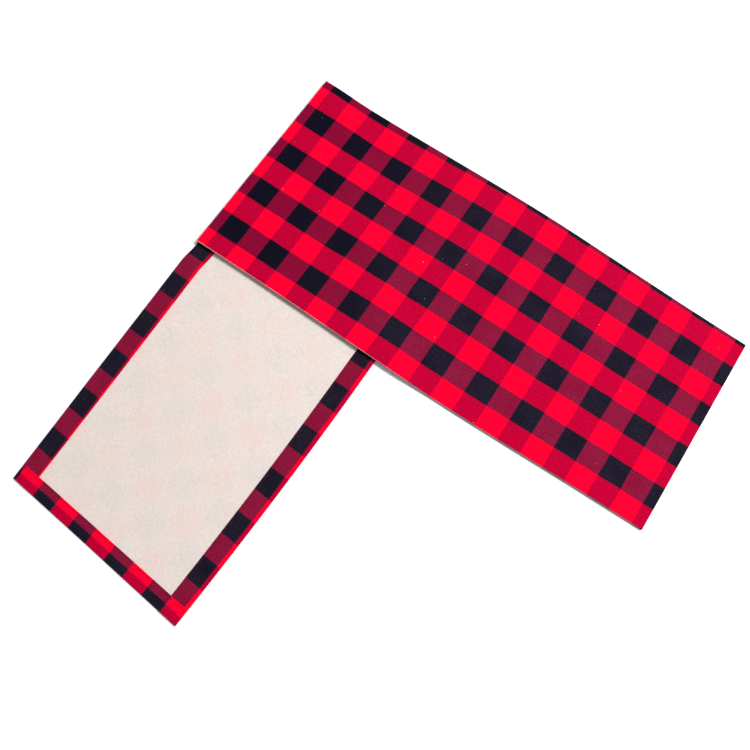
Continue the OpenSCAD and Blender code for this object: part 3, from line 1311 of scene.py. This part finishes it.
@dataclass
class LeafPieces:
    """One flat leaf of the runner: its cloth, its hems and their stitches.

    Attributes:
        prefix: the start of its nodes' names.
        body: the CAD body that it rides on.
        stretch: where it lies.
        start: p at which it starts.
        stop: p at which it stops.
        length: its length, for the spacing of rings and stitches.
        edges: names of the near and far side hems.
        dress: the materials.
        ended: whether its start is the runner's hemmed end.
        per_metre: change in p for a metre along the leaf.
        painted_highlight: whether its near hem has a pale highlight painted along the edge.
        curl: how much further the print runs at the near edge, as if the cloth curled under there.
        far_extra: how much further out on the print its far hem is folded at its start than at its stop.
        end_skew: how far the print on its end hem has slid towards the near edge.
        flat_area: its area spread flat, where it isn't a rectangle.
    """

    prefix: str
    body: str
    stretch: Stretch
    start: float
    stop: float
    length: float
    edges: dict[Edge, str]
    dress: Dress
    ended: bool = False
    per_metre: float = 1.0
    painted_highlight: bool = False
    curl: float = 0.0
    far_extra: float = 0.0
    end_skew: float = 0.0
    flat_area: float | None = None

    def stations(self, step: float, start: float | None = None) -> Array:
        """Values of p for the rings, evenly spaced."""
        first = self.start if start is None else start
        return np.linspace(first, self.stop, max(3, round(self.length / step) + 1))

    def finish(self, piece: bpy.types.Object, node: str, slot: Slot) -> bpy.types.Object:
        """Hides the piece's CAD node and attaches the piece to its body."""
        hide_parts(node)
        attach(piece, self.body)
        log.info("%s: %d faces", piece.name, len(piece.data.polygons))
        return piece

    def cloth(self) -> bpy.types.Object:
        """The single cloth between the rounded edges: printed on its face, bare on its back."""
        cut = self.stretch.cut
        b, n, back = cloth_section(cut)
        inset = cut.leaf / 2 * self.per_metre if self.ended else 0.0
        p = self.stations(6 * MM, self.start + inset)[:, None]
        rings = self.stretch.place(p, b[None], n[None] + 0 * p)
        printed = b - self.curl * bump(b, 0.0, CURL_REACH)
        prints = np.stack(np.broadcast_arrays(self.stretch.along(p, b[None]), printed[None] + 0 * p), -1)
        shell = Shell.sweep(rings, prints, back)
        piece = shell.build(self.prefix + "_leaf_cloth", [self.dress.face, self.dress.back])
        return self.finish(piece, self.prefix + "_leaf", Slot.CLOTH)

    def side_hem(self, edge: Edge) -> bpy.types.Object:
        """A side hem with the rounded edge of the cloth."""
        cut = self.stretch.cut
        inset = 0.15 * MM * self.per_metre if self.ended else 0.0
        p = self.stations(2 * MM, self.start + inset)[:, None]
        e, n, t, ply = hem_section(cut, cut.side_hem, np.full(len(p), cut.leaf))
        b = cloth_at(cut, edge, e)
        a = self.stretch.along(p, b)
        n = n + ply * pucker(cut, a, e, cut.side_hem)
        rings = self.stretch.place(p + 0 * b, b, n)
        printed = cloth_at(cut, edge, t)
        if edge is Edge.FAR:
            printed = printed - self.far_extra * (1 - (p - self.start) / (self.stop - self.start))
        printed = printed - self.curl * bump(np.maximum(printed, 0), 0.0, CURL_REACH)
        prints = np.stack([a, printed], -1)
        shell = Shell.sweep(rings, prints, np.zeros(e.shape[-1], bool))
        # The near hem of a leaf so marked takes the material with the painted highlight.
        painted_highlight = self.painted_highlight and edge is Edge.NEAR
        name = f"{self.prefix}_{self.edges[edge]}_hem"
        piece = shell.build(name + "_cloth", [self.dress.edge if painted_highlight else self.dress.hem])
        return self.finish(piece, name, Slot.HEM)

    def side_stitches(self, edge: Edge) -> bpy.types.Object:
        """The seam of a side hem: stitches on the hem and on the face."""
        cut = self.stretch.cut
        e = cut.side_hem - cut.stitch_in
        skip = cut.end_hem + 1.5 * MM if self.ended else 0.0
        line = cloth_at(cut, edge, e)
        count = int((self.span(line) - skip) / STITCH.pitch)
        p = self.stop - (np.arange(count) + 0.5) * STITCH.pitch * self.per_metre_at(line)
        b = np.full(count, line)
        sunk = float(seam_dip(cut, np.array(e), cut.side_hem))
        dp, db = (self.per_metre_at(line), 0.0), (0.0, 1.0)
        on_back = STITCH.rows(self.stretch, p, b, np.full(count, cut.leaf - sunk * BACK_SUNK), dp, db, 1)
        on_face = STITCH.rows(self.stretch, p, b, np.full(count, FACE_SUNK), dp, db, -1)
        name = f"{self.prefix}_{self.edges[edge]}_stitching"
        piece = on_back.joined(on_face, 0).build(name.replace("stitching", "stitches"), [self.dress.thread])
        return self.finish(piece, name, Slot.THREAD)

    def span(self, line: float) -> float:
        """Length of the leaf along one row of the cloth."""
        ends = self.stretch.along(np.array([self.start, self.stop]), np.array([line, line]))
        return float(abs(ends[1] - ends[0]))

    def per_metre_at(self, line: float) -> float:
        """Change in p for a metre along one row."""
        return (self.stop - self.start) / self.span(line)

    def end_hem(self) -> bpy.types.Object:
        """The hem of the runner's end, which laps over the two side hems."""
        cut = self.stretch.cut
        tip, stop = 0.6 * MM, cut.width - 3.6 * MM
        round_in = 0.5 * MM * (1 - np.cos(np.linspace(0, np.pi / 2, 6)[:-1]))
        middle_b = np.linspace(tip + 0.8 * MM, stop - 0.8 * MM, 170)
        b = np.concatenate([tip + round_in, middle_b, (stop - round_in)[::-1]])
        lap = corner_lap(cut, b)
        e, n, t, ply = hem_section(cut, cut.end_hem, cut.leaf + lap)
        near_end = np.minimum(b - tip, stop - b) / (0.5 * MM)
        full = np.sqrt(np.clip(1 - (1 - np.clip(near_end, 0.02, 1)) ** 2, 0, 1))[:, None]
        middle = (n.max(-1, keepdims=True) + cut.cloth) / 2
        n = middle + (n - middle) * full
        bb = b[:, None] + 0 * e
        n = n + ply * pucker(cut, bb, e, cut.end_hem)
        p = self.end_p(e, bb)
        rings = self.stretch.place(p, bb, n)
        end_a = self.stretch.along(np.full(bb.shape, self.start), bb)
        outward = -1.0 if self.start_is_first() else 1.0
        printed = bb - self.end_skew * smooth(bb / (0.55 * cut.width))
        prints = np.stack([end_a - outward * t, printed], -1)
        shell = Shell.sweep(rings, prints, np.zeros(e.shape[-1], bool))
        piece = shell.build(self.prefix + "_end_hem_cloth", [self.dress.end])
        return self.finish(piece, self.prefix + "_end_hem", Slot.HEM)

    def start_is_first(self) -> bool:
        """Whether the hemmed end is the runner's first end, where a is 0."""
        ends = self.stretch.along(np.array([self.start, self.stop]), np.array([0.1, 0.1]))
        return bool(ends[0] < ends[1])

    def end_p(self, e: Array, b: Array) -> Array:
        """p of a point that is e in from the hemmed end."""
        first = self.stretch.along(np.full(b.shape, self.start), b)
        last = self.stretch.along(np.full(b.shape, self.stop), b)
        return self.start + e * (self.stop - self.start) / np.abs(last - first)

    def end_stitches(self) -> bpy.types.Object:
        """The seam of the end hem."""
        cut = self.stretch.cut
        e = cut.end_hem - cut.stitch_in
        count = int((cut.width - 6 * MM) / STITCH.pitch)
        b = 3 * MM + (np.arange(count) + 0.5) * STITCH.pitch
        p = self.end_p(np.full(count, e), b)
        rate = float(np.mean(self.end_p(np.full(count, e + MM), b) - p)) / MM
        sunk = float(seam_dip(cut, np.array(e), cut.end_hem))
        dp, db = (0.0, rate), (1.0, 0.0)
        on_back = STITCH.rows(self.stretch, p, b, cut.leaf + corner_lap(cut, b) - sunk * BACK_SUNK, dp, db, 1)
        on_face = STITCH.rows(self.stretch, p, b, np.full(count, END_FACE_SUNK), dp, db, -1)
        piece = on_back.joined(on_face, 0).build(self.prefix + "_end_stitches", [self.dress.thread])
        return self.finish(piece, self.prefix + "_end_stitching", Slot.THREAD)

    def build(self, rests_on: list[str]) -> None:
        """Builds every piece of the leaf.

        Args:
            rests_on: names of what the leaf lies on; not used.
        """
        cloth = self.cloth()
        others = [make(edge) for edge in Edge for make in (self.side_hem, self.side_stitches)]
        if self.ended:
            others += [self.end_hem(), self.end_stitches()]


@dataclass
class FoldPiece:
    """The rolled cloth of one fold, with its hems and the few stitches that cross it."""

    name: str
    stretch: Fold
    dress: Dress
    length: float

    def build(self) -> bpy.types.Object:
        """Builds the strip, at rest."""
        cut = self.stretch.cut
        b, n, printed, back = whole_section(cut)
        p = self.stretch.stations()[:, None]
        rings = self.stretch.place(p, b[None] + 0 * p, n[None] + 0 * p)
        prints = np.stack(np.broadcast_arrays(self.stretch.along(p, b[None]), printed[None] + 0 * p), -1)
        shell = Shell.sweep(rings, prints, back)
        for edge in Edge:
            shell = shell.joined(self.stitches(edge), 2)
        piece = shell.build(self.name + "_cloth", [self.dress.hem, self.dress.back, self.dress.thread])
        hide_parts(self.name)
        span = self.stretch.leg_before + self.stretch.arc() + self.stretch.leg_after
        log.info("%s: %d faces", piece.name, len(piece.data.polygons))
        return piece

    def stitches(self, edge: Edge) -> Shell:
        """The stitches on the strip's two legs."""
        cut = self.stretch.cut
        e = cut.side_hem - cut.stitch_in
        arc = self.stretch.arc()
        before = -np.arange(1.5 * MM, self.stretch.leg_before, STITCH.pitch)
        after = arc + np.arange(1.5 * MM, self.stretch.leg_after, STITCH.pitch)
        p = np.concatenate([before, after])
        b = np.full(len(p), float(cloth_at(cut, edge, np.array(e))))
        sunk = float(seam_dip(cut, np.array(e), cut.side_hem))
        dp, db = (1.0, 0.0), (0.0, 1.0)
        on_back = STITCH.rows(self.stretch, p, b, np.full(len(p), cut.leaf - sunk * BACK_SUNK), dp, db, 1)
        on_face = STITCH.rows(self.stretch, p, b, np.full(len(p), FACE_SUNK), dp, db, -1)
        return on_back.joined(on_face, 0)


@dataclass
class Runner:
    """The whole runner: four leaves and the three folds that join them."""

    cut: Cut
    dress: Dress

    def build(self) -> None:
        """Builds the leaves from the table up, then the folds."""
        cut, dress = self.cut, self.dress
        lie = Lie(cut)
        across_names = {Edge.NEAR: "near", Edge.FAR: "far"}
        lower_names = {Edge.NEAR: "right", Edge.FAR: "left"}
        reach = cut.corner_line - cut.left_axis
        lower_mid = cut.lower + cut.corner_line - cut.width / 2 - CornerFold.leg * math.sqrt(2)
        right_gap = cut.right_axis - RightFold.leg_before
        second_start = cut.left_axis + LeftFold.leg_before
        LeafPieces(
            "lower",
            "lower_arm",
            LowerLeaf(lie),
            start=0.0,
            stop=1.0,
            length=lower_mid,
            edges=lower_names,
            dress=dress,
            ended=True,
            per_metre=1 / lower_mid,
            far_extra=5 * MM,
            end_skew=5 * MM,
        ).build(["floor"])
        LeafPieces(
            "turned",
            "lower_arm",
            TurnedLeaf(lie),
            start=0.0,
            stop=1.0,
            length=reach,
            edges=across_names,
            dress=dress,
            per_metre=1 / reach,
            flat_area=cut.width * reach / 2,
        ).build(["lower_leaf_cloth"])
        LeafPieces(
            "second",
            "under_arm",
            SecondLeaf(lie),
            start=second_start,
            stop=right_gap,
            length=right_gap - second_start,
            edges=across_names,
            dress=dress,
        ).build(["turned_leaf_cloth", "floor"])
        LeafPieces(
            "top",
            "upper_arm",
            TopLeaf(lie),
            start=0.0,
            stop=right_gap,
            length=right_gap,
            edges=across_names,
            dress=dress,
            ended=True,
            # Its near hem has the painted highlight.
            painted_highlight=True,
            curl=3.8 * MM,
        ).build(["second_leaf_cloth"])
        corner = FoldPiece("corner_fold", CornerFold(lie), dress, cut.width * math.sqrt(2)).build()
        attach(corner, "lower_arm")
        left = FoldPiece("left_fold", LeftFold(lie), dress, cut.width).build()
        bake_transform(left)
        right = FoldPiece("right_fold", RightFold(lie), dress, cut.width).build()
        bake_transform(right)


# ---------------------------------------------------------------------------------------------
# Studio
# ---------------------------------------------------------------------------------------------


@dataclass(frozen=True)
class Studio:
    """A pale seamless floor, soft light and the camera."""

    floor_size: float = 14.0
    camera_at: tuple[float, float, float] = (0.0893, -0.1579, 0.9067)
    camera_turn: tuple[float, float, float] = (14.16, 0.09, 34.18)
    lens: float = 31.2
    sky: float = 0.36

    def floor(self) -> None:
        """The floor, one wide sheet of grid points just below the runner."""
        half = self.floor_size / 2
        grid = np.linspace(-half, half, 9)
        x, y = np.meshgrid(grid, grid, indexing="ij")
        points = np.stack([x, y, 0 * x - 0.05 * MM], -1).reshape(-1, 3)
        i, j = np.meshgrid(np.arange(8), np.arange(8), indexing="ij")
        quads = np.stack([i * 9 + j, (i + 1) * 9 + j, (i + 1) * 9 + j + 1, i * 9 + j + 1], -1).reshape(-1, 4)
        mesh = bpy.data.meshes.new("floor")
        mesh.from_pydata(points.tolist(), [], quads.tolist())
        material = bpy.data.materials.new("pale_floor")
        material.use_nodes = True
        shader = material.node_tree.nodes["Principled BSDF"]
        shader.inputs["Base Color"].default_value = (0.9, 0.9, 0.9, 1)
        shader.inputs["Roughness"].default_value = 0.9
        shader.inputs["Specular IOR Level"].default_value = 0.1
        mesh.materials.append(material)
        piece = bpy.data.objects.new("floor", mesh)
        bpy.context.scene.collection.objects.link(piece)

    def light(self, name: str, place: tuple[float, float, float], size: float, power: float) -> None:
        """A square soft light that faces the middle of the runner."""
        lamp = bpy.data.lights.new(name, "AREA")
        lamp.size = size
        lamp.energy = power
        made = bpy.data.objects.new(name, lamp)
        made.location = place
        made.rotation_euler = (-Vector(place)).to_track_quat("-Z", "Y").to_euler()
        bpy.context.scene.collection.objects.link(made)

    def build(self) -> None:
        """Sets up the floor, the lights, the sky and the camera."""
        self.floor()
        self.light("key", place=(1.8, 2.3, 3.1), size=1.4, power=258.0)
        self.light("fill", place=(-1.6, -1.2, 2.4), size=2.4, power=4.0)
        world = bpy.data.worlds.new("studio")
        world.use_nodes = True
        world.node_tree.nodes["Background"].inputs["Color"].default_value = (1, 1, 1, 1)
        world.node_tree.nodes["Background"].inputs["Strength"].default_value = self.sky
        bpy.context.scene.world = world
        data = bpy.data.cameras.new("camera")
        data.lens = self.lens
        data.clip_end = 50
        camera = bpy.data.objects.new("camera", data)
        camera.location = self.camera_at
        camera.rotation_euler = [math.radians(v) for v in self.camera_turn]
        bpy.context.scene.collection.objects.link(camera)
        bpy.context.scene.camera = camera
        bpy.context.scene.view_settings.view_transform = "Standard"


def main() -> None:
    """Builds the runner and the studio, in order."""
    logging.basicConfig(level=logging.INFO, format="%(name)s %(message)s")
    Studio().build()
    Runner(Cut.read(), Dress()).build()
    bpy.context.view_layer.update()


if __name__ == "__main__":
    main()
